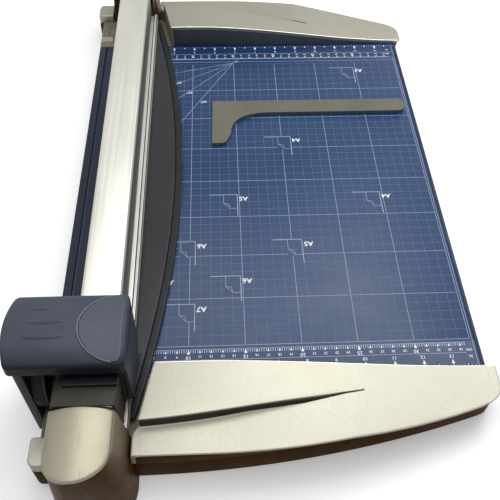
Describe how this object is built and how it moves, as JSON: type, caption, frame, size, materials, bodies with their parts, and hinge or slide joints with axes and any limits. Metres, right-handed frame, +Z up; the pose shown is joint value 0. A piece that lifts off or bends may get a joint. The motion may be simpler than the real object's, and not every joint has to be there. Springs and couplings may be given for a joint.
{
  "type": "rotary paper trimmer",
  "caption": "Long rotary paper trimmer: gridded cutting mat between two raised ends, a rail with a sliding cutter head, a sprung clamp bar with a smoked guard, and a loose paper guide.",
  "frame": {"origin": "on the table, under the middle of the trimmer's outer box", "axes": "+Y along the rail, away from the end where the cutter head rests; +X from the rail toward the free right edge of the mat; +Z up"},
  "size_m": [0.3996, 0.6928, 0.1183],
  "materials": {
    "board": "fibre board with navy laminate",
    "navy_plastic": "matte",
    "mat": "printed self-healing mat, satin",
    "taupe_plastic": "matte moulding",
    "slate_plastic": "matte",
    "silver_paint": "silver painted, satin",
    "grey_plastic": "matte",
    "dark_plastic": "matte",
    "aluminium": "satin anodised extrusion",
    "smoked_plastic": "smoked, see-through",
    "head_plastic": "slate blue, satin",
    "steel": "bright",
    "nylon": "natural nylon",
    "rubber": "matte",
    "guide_plastic": "fine grain, matte"
  },
  "bodies": {
    "base": {"base_board": "board", "steel_sheet": "steel", "cutting_mat": "mat", "cutting_strip": "navy_plastic", "left_edge_strip": "navy_plastic", "right_edge_trim": "navy_plastic", "board_stiffener_1": "steel", "board_stiffener_2": "steel", "board_stiffener_3": "steel", "rail": "aluminium", "near_end_tray": "taupe_plastic", "near_end_riser": "taupe_plastic", "near_end_cap": "silver_paint", "near_end_fence": "slate_plastic", "near_end_deck": "grey_plastic", "near_end_block": "silver_paint", "near_foot_left": "rubber", "near_foot_right": "rubber", "near_support_tower": "grey_plastic", "near_rail_saddle": "dark_plastic", "near_dome_cover": "silver_paint", "near_rail_plug": "nylon", "near_rail_screw": "steel", "near_clamp_pin": "steel", "near_clamp_spring": "steel", "far_end_tray": "taupe_plastic", "far_end_riser": "taupe_plastic", "far_end_cap": "silver_paint", "far_end_fence": "slate_plastic", "far_end_deck": "grey_plastic", "far_end_block": "silver_paint", "far_foot_left": "rubber", "far_foot_right": "rubber", "far_support_tower": "grey_plastic", "far_rail_saddle": "dark_plastic", "far_dome_cover": "silver_paint", "far_rail_plug": "nylon", "far_rail_screw": "steel", "far_clamp_pin": "steel", "far_clamp_spring": "steel"},
    "carriage": {"carriage": "dark_plastic", "glide_top": "nylon", "glide_left": "nylon", "glide_right": "nylon", "glide_lower_left": "nylon", "glide_lower_right": "nylon", "press_spring_near": "steel", "press_spring_far": "steel"},
    "head": {"head_housing": "head_plastic", "head_panel": "head_plastic", "cartridge": "head_plastic", "blade_axle": "steel", "blade_cap_nut": "dark_plastic"},
    "blade": {"blade": "steel"},
    "clamp": {"clamp_bar": "aluminium", "guard_sheet": "smoked_plastic", "guard_rim": "smoked_plastic"},
    "guide": {"paper_guide": "guide_plastic", "guide_magnet_1": "steel", "guide_magnet_2": "steel"}
  },
  "joints": [
    {"name": "head_slide", "type": "slide", "parent": "base", "child": "carriage", "axis": [0, 1, 0], "range_m": [0, 0.472]},
    {"name": "head_press", "type": "slide", "parent": "carriage", "child": "head", "axis": [0, 0, 1], "range_m": [-0.003, 0], "stiffness_N_per_m": 1500, "springref_m": 0.006},
    {"name": "blade_spin", "type": "hinge", "parent": "head", "child": "blade", "pos_m": [-0.16475, -0.2363, 0.0557], "axis": [1, 0, 0], "continuous": true},
    {"name": "clamp_press", "type": "slide", "parent": "base", "child": "clamp", "axis": [0, 0, 1], "range_m": [-0.003, 0], "stiffness_N_per_m": 1200, "springref_m": 0.008},
    {"name": "guide_slide", "type": "slide", "parent": "base", "child": "guide", "axis": [0, 1, 0], "range_m": [-0.28, 0.11]}
  ]
}
